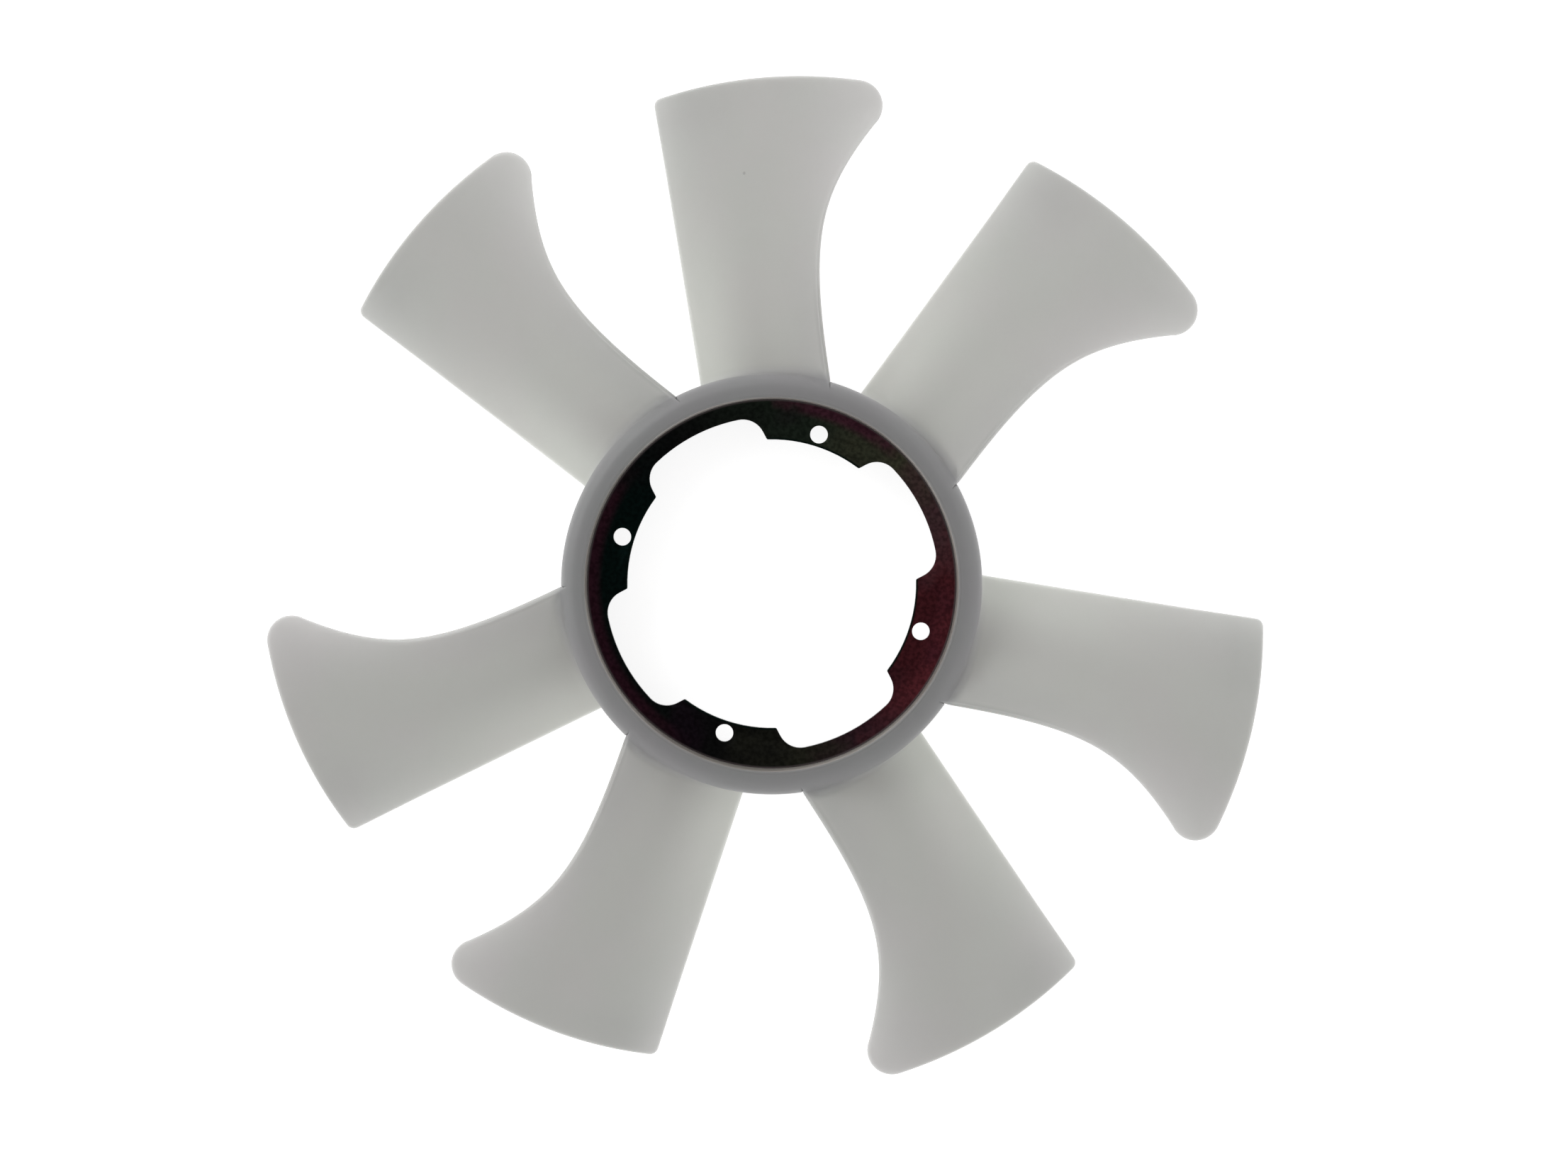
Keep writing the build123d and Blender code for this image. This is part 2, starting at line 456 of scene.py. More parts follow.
def outline(front):
    """Dense plan outline of a face, from root to tip and back."""
    radii = TIP_RADIUS - np.linspace(0, sqrt(TIP_RADIUS - OUTLINE_START), OUTLINE_SIDE_STEPS) ** 2
    tip_radii = np.full(OUTLINE_TIP_STEPS, TIP_RADIUS)
    up = np.column_stack(plan(radii[::-1], 0.0, front))
    tip = np.column_stack(plan(tip_radii, np.linspace(0, 1, OUTLINE_TIP_STEPS), front))
    down = np.column_stack(plan(radii, 1.0, front))
    return np.concatenate((up, tip, down))


OUTLINES = {front: outline(front) for front in (True, False)}


def edge_drop(x, y, front, stretch):
    """How far a face falls towards its rounded edge, with the plan's distances stretched."""
    starts = OUTLINES[front][:-1]
    runs = np.diff(OUTLINES[front], axis=0)
    squares = np.maximum((runs**2).sum(1), SMALLEST_SQUARE)
    shape = np.shape(x)
    points = np.column_stack((np.ravel(x), np.ravel(y)))
    near = np.empty(len(points))
    for n in range(0, len(points), POINTS_AT_ONCE):
        some = slice(n, n + POINTS_AT_ONCE)
        gaps = points[some, None, :] - starts
        along = np.clip((gaps * runs).sum(2) / squares, 0, 1)
        gaps -= along[..., None] * runs
        near[some] = np.sqrt((gaps**2).sum(2).min(1))
    left = np.clip(EDGE_ROUND - near.reshape(shape) * stretch, 0, EDGE_ROUND)
    return EDGE_ROUND - np.sqrt(EDGE_ROUND**2 - left**2)


def column_share(x, y, front):
    """The reverse of plan: share of the chord at a plan position."""
    radius = np.hypot(x, y)
    first, last = face_ends(radius, front)
    return (np.arctan2(y, x) - first) / (last - first)


def face_point(radius, share, front, edge_share=None):
    """Point on a face and the way out of it, with the edge's round found at a share of its own if given."""
    x, y = plan(radius, share, front)
    rim = (x, y) if edge_share is None else plan(radius, edge_share, front)
    height = front_height if front else back_height
    rise_x = (height(x + SLOPE_STEP, y) - height(x - SLOPE_STEP, y)) / (2 * SLOPE_STEP)
    rise_y = (height(x, y + SLOPE_STEP) - height(x, y - SLOPE_STEP)) / (2 * SLOPE_STEP)
    side = 1.0 if front else -1.0
    steep = np.sqrt(1 + rise_x**2 + rise_y**2)
    out = side * np.stack((-rise_x, -rise_y, np.ones_like(x)), -1) / steep[..., None]
    square = mix(edge_square(radius, False), edge_square(radius, True), share)
    drop = edge_drop(*rim, front, mix(1, steep, square))
    upright = side * steep[..., None] * np.array((0.0, 0.0, 1.0))
    way = mix(upright, out, square[..., None])
    return np.stack((x, y, height(x, y)), -1) - drop[..., None] * way, out


def hub_distance(point):
    """Distance outside the hub: top face, round of the rim, then the wall."""
    radius = np.hypot(point[..., 0], point[..., 1])
    over = point[..., 2] - RIM_CENTRE_HEIGHT
    beyond = radius - RIM_CENTRE_RADIUS
    corner = np.hypot(np.maximum(over, 0), np.maximum(beyond, 0)) - RIM_ROUND
    return np.where(over <= 0, radius - HUB_RADIUS, np.where(beyond <= 0, over - RIM_ROUND, corner))


def chord_shares(radius):
    """Shares of the chord at each radius: rounded edge, even middle, rounded edge."""
    width = radius * (trailing_angle(radius) - leading_angle(radius))
    edge = np.array(EDGE_STEPS) * EDGE_ROUND
    edge = np.minimum(edge[None, :] / width[:, None], WIDEST_EDGE_SHARE)
    even = np.linspace(0, 1, CHORD_STEPS + 1)[1:-1]
    middle = mix(edge[:, -1:], 1 - edge[:, -1:], even[None, :])
    return np.concatenate((edge, middle, 1 - edge[:, ::-1]), 1)


def root_rows(front):
    """Rows of the fillet between one face and the hub, from the hub outwards."""
    shares = chord_shares(np.array([HUB_RADIUS + ROOT_FILLET]))[0]
    foot, out = face_point(np.full_like(shares, HUB_RADIUS), shares, front)
    room = HUB_FRONT - foot[:, 2] if front else foot[:, 2] - HUB_REAR
    fillet = np.minimum(ROOT_FILLET, FILLET_ROOM_SHARE * room * np.abs(out[:, 2]))
    end = face_point(np.full_like(shares, HUB_RADIUS + ROOT_FILLET), shares, front)[0]
    aim = column_share(end[:, 0], end[:, 1], front)
    rows = []
    for turn in np.linspace(0, pi / 2, FILLET_STEPS):
        from_blade = fillet * (1 - sin(turn))
        from_hub = fillet * (1 - cos(turn))
        moved = shares.copy()
        # The share is moved until the fillet, which leans off the blade, ends on the blade's own edges
        for _ in range(SETTLE_PASSES):
            low, high = (np.full_like(shares, radius) for radius in FILLET_SEARCH)
            for _ in range(HALVINGS):
                radius = (low + high) / 2
                point, out = face_point(radius, moved, front, shares)
                short = hub_distance(point + from_blade[:, None] * out) < from_hub
                low = np.where(short, radius, low)
                high = np.where(short, high, radius)
            point, out = face_point(high, moved, front, shares)
            point = point + from_blade[:, None] * out
            moved = moved + aim - column_share(point[:, 0], point[:, 1], front)
        rows.append(point)
    return np.array(rows), high, shares


def face_grid(front):
    """Grid of points on one face, rows from hub to tip and columns from trailing to leading edge."""
    rows, first_radius, root_shares = root_rows(front)
    near_tip = TIP_RADIUS - TIP_ROW_GROWTH * np.arange(TIP_ROWS) ** 2
    hook = np.arange(near_tip[-1] - HOOK_ROW_GAP, HOOK_ROWS_END, -HOOK_ROW_GAP)
    span = np.linspace(hook[-1], SPAN_ROWS_END, SPAN_ROWS)[1:]
    radii = np.concatenate((near_tip, hook, span))[::-1]
    grid = [rows]
    for share in np.linspace(0, 1, START_ROWS)[1:-1]:
        radius = mix(first_radius, radii[0], share)
        shares = mix(root_shares, chord_shares(radii[:1])[0], share)
        grid.append(face_point(radius, shares, front)[0][None])
    shares = chord_shares(radii)
    grid.append(face_point(np.repeat(radii[:, None], shares.shape[1], 1), shares, front)[0])
    return np.concatenate(grid)


def on_hub(point):
    """A point moved in or out to the hub's own surface, at its height and angle."""
    over = max(point[2] - RIM_CENTRE_HEIGHT, 0.0)
    radius = RIM_CENTRE_RADIUS + sqrt(max(RIM_ROUND**2 - over**2, 0.0))
    scale = radius / hypot(point[0], point[1])
    return np.array((point[0] * scale, point[1] * scale, point[2]))


def blade_mesh():
    """Points and faces of one blade, the loop of its root on the hub and the shade of its leading edge."""
    front, back = face_grid(True), face_grid(False)
    rows, columns = front.shape[:2]
    points = np.concatenate((front.reshape(-1, 3), back.reshape(-1, 3)))
    count = rows * columns
    at = np.arange(count).reshape(rows, columns)
    faces = []
    for r in range(rows - 1):
        for c in range(columns - 1):
            quad = (at[r, c], at[r + 1, c], at[r + 1, c + 1], at[r, c + 1])
            faces.append(quad[::-1])
            faces.append(tuple(n + count for n in quad))
    # Walls join the two faces: out along the trailing edge, round the tip, back along the leading edge
    rim = [at[r, 0] for r in range(rows)]
    rim += [at[rows - 1, c] for c in range(1, columns)]
    rim += [at[r, columns - 1] for r in range(rows - 2, -1, -1)]
    extra = []
    walls = []
    for place, n in enumerate(rim):
        ends = points[n], points[n + count]
        inner = [mix(ends[0], ends[1], step / WALL_STEPS) for step in range(1, WALL_STEPS)]
        if place in (0, len(rim) - 1):
            inner = [on_hub(point) for point in inner]
        first = 2 * count + len(extra)
        extra += inner
        walls.append([n, *range(first, first + len(inner)), n + count])
    for one, other in zip(walls, walls[1:]):
        for k in range(WALL_STEPS):
            faces.append((one[k], one[k + 1], other[k + 1], other[k]))
    points = np.concatenate((points, np.array(extra)))
    # The last walls and the last columns of the front lie along the leading edge
    shade = np.zeros(len(points))
    shade[np.concatenate(walls[rows + columns - 2 :])] = LEADING_WALL_SHADE
    shade[at[:, -len(EDGE_STEPS) :].ravel()] = 1.0
    radii = np.hypot(points[:, 0], points[:, 1])
    shade *= ease(*LEADING_SHADE_START, radii) * (1 - ease(*LEADING_SHADE_END, radii))
    loop = list(at[0]) + walls[-1][1:-1] + [n + count for n in at[0, ::-1]] + walls[0][-2:0:-1]
    return points, faces, points[loop], shade


def hub_sheet_place(point):
    """Place of a point of the hub's outside on a flat sheet: angle and distance down from the rim."""
    radius = np.hypot(point[:, 0], point[:, 1])
    over = point[:, 2] - RIM_CENTRE_HEIGHT
    beyond = radius - RIM_CENTRE_RADIUS
    turn = np.arctan2(np.maximum(over, 0), np.maximum(beyond, SMALLEST_REACH))
    down = np.where(over > 0, -RIM_ROUND * turn, -over)
    return np.arctan2(point[:, 1], point[:, 0]), down - np.maximum(-beyond, 0)


def hub_sheet_point(angle, down):
    """The reverse: a point of the hub's outside for a place on the sheet."""
    turn = np.clip(-down / RIM_ROUND, 0, pi / 2)
    flat = np.maximum(-down - RIM_ROUND * pi / 2, 0)
    radius = RIM_CENTRE_RADIUS + RIM_ROUND * np.cos(turn) - flat
    height = RIM_CENTRE_HEIGHT + RIM_ROUND * np.sin(turn) - np.maximum(down, 0)
    return np.stack((radius * np.cos(angle), radius * np.sin(angle), height), -1)


def hub_lattice():
    """Even lattice of places on the hub's sheet, and which of them lie on its top or bottom."""
    rim_top = -RIM_ROUND * pi / 2
    top = rim_top - (RIM_CENTRE_RADIUS - (RECESS_MOUTH + RECESS_ROUND))
    bottom = RIM_CENTRE_HEIGHT - HUB_REAR
    downs = np.concatenate(
        (
            np.linspace(top, rim_top, HUB_TOP_ROWS)[:-1],
            np.linspace(rim_top, 0, HUB_RIM_ROWS)[:-1],
            np.linspace(0, bottom, HUB_WALL_ROWS),
        )
    )
    angles = np.linspace(SEAM - 2 * pi, SEAM, HUB_COLUMNS + 1)
    across, along = np.meshgrid(angles, downs)
    lattice = np.column_stack((across.ravel() * HUB_RADIUS, along.ravel()))
    return lattice, np.isin(lattice[:, 1], (top, bottom))


def roots_on_sheet(root_loop):
    """Loops of the blades' roots on the hub's sheet."""
    angle, down = hub_sheet_place(root_loop)
    loops = []
    for blade_angle in BLADE_ANGLES:
        turned = angle + radians(blade_angle)
        turned -= 2 * pi * (turned.mean() > SEAM)
        loops.append(np.column_stack((turned * HUB_RADIUS, down)))
    return loops


def inside(loop, places):
    """Which places lie inside a closed loop."""
    x, y = places[:, 0], places[:, 1]
    found = np.zeros(len(places), bool)
    for (x0, y0), (x1, y1) in zip(loop, np.roll(loop, -1, 0)):
        crosses = (y0 > y) != (y1 > y)
        with np.errstate(divide="ignore", invalid="ignore"):
            found ^= crosses & (x < (x1 - x0) * (y - y0) / (y1 - y0) + x0)
    return found


def hub_outside(root_loop):
    """Points and faces of the hub's rim and outer wall, open where the blades grow out of it."""
    lattice, border = hub_lattice()
    loops = roots_on_sheet(root_loop)
    keep = np.ones(len(lattice), bool)
    for loop in loops:
        gap = np.sqrt(((lattice[:, None, :] - loop[None, :, :]) ** 2).sum(2)).min(1)
        keep &= border | ~inside(loop, lattice) & (gap > ROOT_CLEARANCE)
    edges = []
    first = int(keep.sum())
    for loop in loops:
        ring = list(range(first, first + len(loop)))
        edges += list(zip(ring, ring[1:] + ring[:1]))
        first += len(loop)
    places = np.concatenate((lattice[keep], *loops))
    flat, _, faces, *_ = delaunay_2d_cdt([Vector(p) for p in places], edges, [], 0, SHEET_TOLERANCE)
    flat = np.array([tuple(p) for p in flat])
    centres = np.array([flat[list(face)].mean(0) for face in faces])
    solid = np.ones(len(faces), bool)
    for loop in loops:
        solid &= ~inside(loop, centres)
    kept = [tuple(face) for face, wanted in zip(faces, solid) if wanted]
    return hub_sheet_point(flat[:, 0] / HUB_RADIUS, flat[:, 1]), kept


def round_corner(before, corner, after, bend):
    """Points of a round between two straight runs of a profile."""
    before, corner, after = (np.array(p, float) for p in (before, corner, after))
    one = (before - corner) / np.linalg.norm(before - corner)
    two = (after - corner) / np.linalg.norm(after - corner)
    half = acos(np.clip(one @ two, -1, 1)) / 2
    reach = bend / tan(half)
    centre = corner + (one + two) / np.linalg.norm(one + two) * bend / sin(half)
    start = corner + one * reach - centre
    end = corner + two * reach - centre
    swing = pi - 2 * half
    drawn = []
    for step in range(CORNER_STEPS + 1):
        share = step / CORNER_STEPS
        way = (sin((1 - share) * swing) * start + sin(share * swing) * end) / sin(swing)
        drawn.append(tuple(centre + way))
    return drawn


def hub_inside():
    """Points and faces of the rest of the hub: rear end, skirt, flange, slot of the steel and recess."""
    rear = (HUB_RADIUS, HUB_REAR)
    skirt_mouth = (HUB_RADIUS - SKIRT_WALL, HUB_REAR)
    skirt_radius = skirt_mouth[0] - (FLANGE_REAR - HUB_REAR) * tan(radians(SKIRT_DRAFT))
    skirt_end = (skirt_radius, FLANGE_REAR)
    flange_rear = (FLANGE_RADIUS, FLANGE_REAR)
    slot_share = (FLANGE_RADIUS - STEP_START) / (STEP_END - STEP_START)
    flange_front = (FLANGE_RADIUS, slot_share * STEP_RISE - SHEET)
    slot_front = (RECESS_RADIUS + STEP_RISE * tan(radians(RECESS_DRAFT)), STEP_RISE)
    recess_mouth = (RECESS_MOUTH, HUB_FRONT)
    rim_front = (HUB_RADIUS, HUB_FRONT)
    profile = [rear]
    profile += round_corner(rear, skirt_mouth, skirt_end, REAR_ROUND)
    for share in SKIRT_SHARES:
        profile.append(tuple(mix(np.array(skirt_mouth), np.array(skirt_end), share)))
    profile += round_corner(skirt_mouth, skirt_end, flange_rear, SKIRT_ROUND)
    profile += round_corner(skirt_end, flange_rear, flange_front, REAR_ROUND)
    profile += [
        flange_front,
        (STEP_END, STEP_RISE - SHEET),
        (INSERT_RADIUS, STEP_RISE - SHEET),
        (INSERT_RADIUS, STEP_RISE),
        slot_front,
    ]
    profile += round_corner(slot_front, recess_mouth, rim_front, RECESS_ROUND)
    profile.append((RECESS_MOUTH + RECESS_ROUND, HUB_FRONT))
    profile = np.array(profile)
    angles = np.linspace(0, 2 * pi, HUB_COLUMNS, endpoint=False) + SEAM
    points = np.stack(
        (
            profile[:, None, 0] * np.cos(angles),
            profile[:, None, 0] * np.sin(angles),
            np.repeat(profile[:, 1:2], HUB_COLUMNS, 1),
        ),
        -1,
    )
    at = np.arange(len(profile) * HUB_COLUMNS).reshape(len(profile), HUB_COLUMNS)
    faces = []
    for row, after in zip(at, at[1:]):
        for n in range(HUB_COLUMNS):
            m = (n + 1) % HUB_COLUMNS
            faces.append((row[n], row[m], after[m], after[n]))
    return points.reshape(-1, 3), faces


def new_mesh(name, points, faces):
    """Mesh in metres from points in millimetres."""
    mesh = bpy.data.meshes.new(name)
    mesh.from_pydata([tuple(p) for p in np.asarray(points) * MM], [], [tuple(map(int, f)) for f in faces])
    mesh.validate()
    return mesh


def new_object(name, mesh):
    """Object of a mesh, in the scene and at the origin."""
    made = bpy.data.objects.new(name, mesh)
    bpy.context.scene.collection.objects.link(made)
    return made


def blades_round_hub_nodes():
    """Node tree that sets a turned copy of the blade at each point and joins them to the hub."""
    tree = bpy.data.node_groups.new("blades_round_hub", "GeometryNodeTree")
    for name, kind in (
        ("Blade angles", "NodeSocketGeometry"),
        ("Blade", "NodeSocketObject"),
        ("Hub", "NodeSocketObject"),
        ("Join distance", "NodeSocketFloat"),
        ("Plastic", "NodeSocketMaterial"),
    ):
        tree.interface.new_socket(name, in_out="INPUT", socket_type=kind)
    tree.interface.new_socket("Moulding", in_out="OUTPUT", socket_type="NodeSocketGeometry")
    nodes, links = tree.nodes, tree.links
    start = nodes.new("NodeGroupInput")
    end = nodes.new("NodeGroupOutput")
    turn = nodes.new("GeometryNodeInputNamedAttribute")
    turn.data_type = "FLOAT"
    turn.inputs["Name"].default_value = "blade_turn"
    spin = nodes.new("ShaderNodeCombineXYZ")
    blade = nodes.new("GeometryNodeObjectInfo")
    hub = nodes.new("GeometryNodeObjectInfo")
    place = nodes.new("GeometryNodeInstanceOnPoints")
    real = nodes.new("GeometryNodeRealizeInstances")
    join = nodes.new("GeometryNodeJoinGeometry")
    weld = nodes.new("GeometryNodeMergeByDistance")
    smooth = nodes.new("GeometryNodeSetShadeSmooth")
    paint = nodes.new("GeometryNodeSetMaterial")
    links.new(turn.outputs["Attribute"], spin.inputs["Z"])
    links.new(start.outputs["Blade"], blade.inputs["Object"])
    links.new(start.outputs["Hub"], hub.inputs["Object"])
    links.new(start.outputs["Blade angles"], place.inputs["Points"])
    links.new(blade.outputs["Geometry"], place.inputs["Instance"])
    links.new(spin.outputs["Vector"], place.inputs["Rotation"])
    links.new(place.outputs["Instances"], join.inputs["Geometry"])
    links.new(hub.outputs["Geometry"], join.inputs["Geometry"])
    links.new(join.outputs["Geometry"], real.inputs["Geometry"])
    links.new(real.outputs["Geometry"], weld.inputs["Geometry"])
    links.new(start.outputs["Join distance"], weld.inputs["Distance"])
    links.new(weld.outputs["Geometry"], smooth.inputs["Geometry"])
    links.new(smooth.outputs["Geometry"], paint.inputs["Geometry"])
    links.new(start.outputs["Plastic"], paint.inputs["Material"])
    links.new(paint.outputs["Geometry"], end.inputs["Moulding"])
    return tree


def set_input(modifier, name, value):
    """Sets a named input of a node modifier by its socket's identifier."""
    for item in modifier.node_group.interface.items_tree:
        if item.item_type == "SOCKET" and item.in_out == "INPUT" and item.name == name:
            modifier[item.identifier] = value


def plain_mesh(made):
    """Gives an object its evaluated shape as a plain mesh and removes its modifiers."""
    bpy.context.view_layer.update()
    graph = bpy.context.evaluated_depsgraph_get()
    mesh = bpy.data.meshes.new_from_object(made.evaluated_get(graph), depsgraph=graph)
    made.modifiers.clear()
    made.data = mesh


def make_fan_moulding(plastic):
    """Hub ring and seven blades as one skin."""
    points, faces, root_loop, shade = blade_mesh()
    blade = new_object("one_blade", new_mesh("one_blade", points, faces))
    blade.data.attributes.new("leading_shade", "FLOAT", "POINT").data.foreach_set("value", shade)
    outside, outside_faces = hub_outside(root_loop)
    rest, rest_faces = hub_inside()
    hub_points = np.concatenate((outside, rest))
    hub_faces = outside_faces + [tuple(n + len(outside) for n in face) for face in rest_faces]
    hub = new_object("hub_ring", new_mesh("hub_ring", hub_points, hub_faces))
    carrier = bpy.data.meshes.new("blade_angles")
    carrier.from_pydata([(0, 0, 0)] * len(BLADE_ANGLES), [], [])
    turns = carrier.attributes.new("blade_turn", "FLOAT", "POINT")
    turns.data.foreach_set("value", [radians(angle) for angle in BLADE_ANGLES])
    moulding = new_object("milky_fan", carrier)
    modifier = moulding.modifiers.new("blades_round_hub", "NODES")
    modifier.node_group = blades_round_hub_nodes()
    set_input(modifier, "Blade", blade)
    set_input(modifier, "Hub", hub)
    set_input(modifier, "Join distance", JOIN_DISTANCE * MM)
    set_input(modifier, "Plastic", plastic)
    plain_mesh(moulding)
    for spare in (blade, hub):
        bpy.data.objects.remove(spare)
    shape = bmesh.new()
    shape.from_mesh(moulding.data)
    bmesh.ops.recalc_face_normals(shape, faces=shape.faces)
    shape.to_mesh(moulding.data)
    shape.free()
    moulding.data.set_sharp_from_angle(angle=radians(PLASTIC_SHARP_ANGLE))
    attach(moulding, "root")
    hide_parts("fan_moulding")


def make_steel_ring(steel):
    """The stamped ring with its punched edges broken by a small round."""
    shape = bmesh.new()
    shape.from_mesh(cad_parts["steel_insert"].data)
    bmesh.ops.remove_doubles(shape, verts=shape.verts, dist=STEEL_JOIN_DISTANCE * MM)
    bmesh.ops.dissolve_limit(
        shape,
        angle_limit=radians(STEEL_FLAT_ANGLE),
        verts=shape.verts,
        edges=shape.edges,
        delimit={"NORMAL"},
    )
    mesh = bpy.data.meshes.new("dark_steel_ring")
    shape.to_mesh(mesh)
    shape.free()
    ring = new_object("dark_steel_ring", mesh)
    mesh.materials.append(steel)
    edge = ring.modifiers.new("punched_edges", "BEVEL")
    edge.width = PUNCHED_ROUND * MM
    edge.segments = STEEL_ROUND_STEPS
    edge.limit_method = "ANGLE"
    edge.angle_limit = radians(PUNCHED_ANGLE)
    plain_mesh(ring)
    ring.data.shade_smooth()
    ring.data.set_sharp_from_angle(angle=radians(STEEL_SHARP_ANGLE))
    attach(ring, "root")
    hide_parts("steel_insert")


def new_material(name):
    """Material with its node tree, and that tree's nodes and links."""
    material = bpy.data.materials.new(name)
    material.use_nodes = True
    return material, material.node_tree.nodes, material.node_tree.links


def share_between(tree, value, low, high, shape="SMOOTHSTEP"):
    """Socket that rises from 0 to 1 while a value goes from low to high."""
    step = tree.nodes.new("ShaderNodeMapRange")
    step.interpolation_type = shape
    step.inputs["From Min"].default_value = low
    step.inputs["From Max"].default_value = high
    tree.links.new(value, step.inputs["Value"])
    return step.outputs["Result"]


def share_in_zone(tree, length, zone, shape="SMOOTHSTEP"):
    """The same for a length in metres and a zone in millimetres."""
    return share_between(tree, length, zone[0] * MM, zone[1] * MM, shape)


def math_node(tree, operation, one, other):
    """Socket with the result of a sum on two sockets or numbers."""
    node = tree.nodes.new("ShaderNodeMath")
    node.operation = operation
    for socket, value in zip(node.inputs, (one, other)):
        if isinstance(value, (int, float)):
            socket.default_value = value
        else:
            tree.links.new(value, socket)
    return node.outputs[0]


def blend(tree, share, below, above, how="MIX"):
    """Socket with two colours mixed by a share."""
    node = tree.nodes.new("ShaderNodeMix")
    node.data_type = "RGBA"
    node.blend_type = how
    node.clamp_factor = True
    for name, value in (("Factor_Float", share), ("A_Color", below), ("B_Color", above)):
        socket = next(s for s in node.inputs if s.identifier == name)
        if isinstance(value, tuple):
            socket.default_value = (*value, 1.0)
        elif isinstance(value, float):
            socket.default_value = value
        else:
            tree.links.new(value, socket)
    return next(s for s in node.outputs if s.identifier == "Result_Color")


def noise(tree, place, scale, detail=2.0):
    """Socket with a soft random value between 0 and 1."""
    node = tree.nodes.new("ShaderNodeTexNoise")
    node.inputs["Scale"].default_value = scale
    node.inputs["Detail"].default_value = detail
    tree.links.new(place, node.inputs["Vector"])
    return node.outputs["Fac"]


def place_on_fan(tree):
    """Sockets with the place on the fan, its distance from the axis and its height, in metres."""
    place = tree.nodes.new("ShaderNodeTexCoord").outputs["Object"]
    parts = tree.nodes.new("ShaderNodeSeparateXYZ")
    tree.links.new(place, parts.inputs[0])
    square = math_node(tree, "POWER", parts.outputs["X"], 2.0)
    other = math_node(tree, "POWER", parts.outputs["Y"], 2.0)
    radius = math_node(tree, "SQRT", math_node(tree, "ADD", square, other), 0.0)
    return place, radius, parts.outputs["Z"]


def turn_on_fan(tree, place):
    """Socket with the angle round the axis: 0 at half a turn back from +X, 1 at half a turn on."""
    parts = tree.nodes.new("ShaderNodeSeparateXYZ")
    tree.links.new(place, parts.inputs[0])
    turn = math_node(tree, "ARCTAN2", parts.outputs["Y"], parts.outputs["X"])
    return math_node(tree, "ADD", math_node(tree, "DIVIDE", turn, 2 * pi), 0.5)


def finish_surface(tree, colour, finish):
    """Gives the material's shader its colour socket and its named values."""
    shader = tree.nodes["Principled BSDF"]
    tree.links.new(colour, shader.inputs["Base Color"])
    for name, value in finish.items():
        shader.inputs[name].default_value = value
    return shader


def blade_light_and_shade(tree, radius, height):
    """Colour of the blades with painted light and shade, palest at the trailing root from painted light."""
    outward = share_in_zone(tree, radius, SPAN_RADII, "LINEAR")
    middle = blend(tree, outward, *MIDDLE_LIGHT_AND_SHADE)
    trailing = blend(tree, outward, *TRAILING_LIGHT_AND_SHADE)
    leading = blend(tree, outward, *LEADING_LIGHT_AND_SHADE)
    colour = blend(tree, share_in_zone(tree, height, TRAILING_HEIGHTS), middle, trailing)
    return blend(tree, share_in_zone(tree, height, LEADING_HEIGHTS), colour, leading)


def hub_light_and_shade(tree, radius):
    """Painted shade of the thick hub ring over its rim, darkest at the mouth of the recess, and painted
    light down into the recess.
    """
    colour = blend(tree, share_in_zone(tree, radius, RIM_RADII, "LINEAR"), *RIM_PAINTED_SHADE)
    colour = blend(tree, share_in_zone(tree, radius, MOUTH_RADII), colour, MOUTH_PAINTED_SHADE)
    return blend(tree, share_in_zone(tree, radius, RECESS_RADII), colour, RECESS_PAINTED_LIGHT)


def speck_place():
    """Place in metres of the one dark speck, on the front of its blade."""
    height = front_height(*polar(SPECK_RADIUS, radians(SPECK_ANGLE)))
    x, y = polar(SPECK_RADIUS, radians(BLADE_ANGLES[SPECK_BLADE] + SPECK_ANGLE))
    return (x * MM, y * MM, height * MM)


def milky_plastic():
    """Natural translucent plastic, grey with painted shade where the hub is thick and over the blades'
    roots, with painted light and shade across the thin blades.
    """
    material, nodes, links = new_material("milky_plastic")
    tree = material.node_tree
    place, radius, height = place_on_fan(tree)
    # Share of the hub's painted shade: over the blades' roots above the trailing side, and on the hub's
    # walls
    hub = share_in_zone(tree, radius, ROOT_SHADE_RADII)
    hub = math_node(tree, "MULTIPLY", hub, share_in_zone(tree, height, ROOT_SHADE_HEIGHTS))
    hub = math_node(tree, "MAXIMUM", hub, share_in_zone(tree, radius, HUB_WALL_SHADE_RADII))
    colour = blend(tree, hub, blade_light_and_shade(tree, radius, height), hub_light_and_shade(tree, radius))
    cloud = share_between(tree, noise(tree, place, CLOUD_SCALE), *CLOUD_RANGE)
    colour = blend(tree, CLOUD_SHARE, colour, blend(tree, cloud, *CLOUD_COLOURS))
    edge = nodes.new("ShaderNodeAttribute")
    edge.attribute_name = "leading_shade"
    colour = blend(tree, edge.outputs["Fac"], colour, LEADING_SHADE, "MULTIPLY")
    gap = nodes.new("ShaderNodeVectorMath")
    gap.operation = "DISTANCE"
    links.new(place, gap.inputs[0])
    gap.inputs[1].default_value = speck_place()
    speck = share_in_zone(tree, gap.outputs["Value"], SPECK_REACH)
    colour = blend(tree, math_node(tree, "MULTIPLY", speck, SPECK_SHARE), colour, SPECK_COLOUR)
    shader = finish_surface(tree, colour, PLASTIC_FINISH)
    grain = nodes.new("ShaderNodeBump")
    grain.inputs["Strength"].default_value = GRAIN_STRENGTH
    grain.inputs["Distance"].default_value = GRAIN_DEPTH * MM
    links.new(noise(tree, place, GRAIN_SCALE), grain.inputs["Height"])
    links.new(grain.outputs["Normal"], shader.inputs["Normal"])
    return material


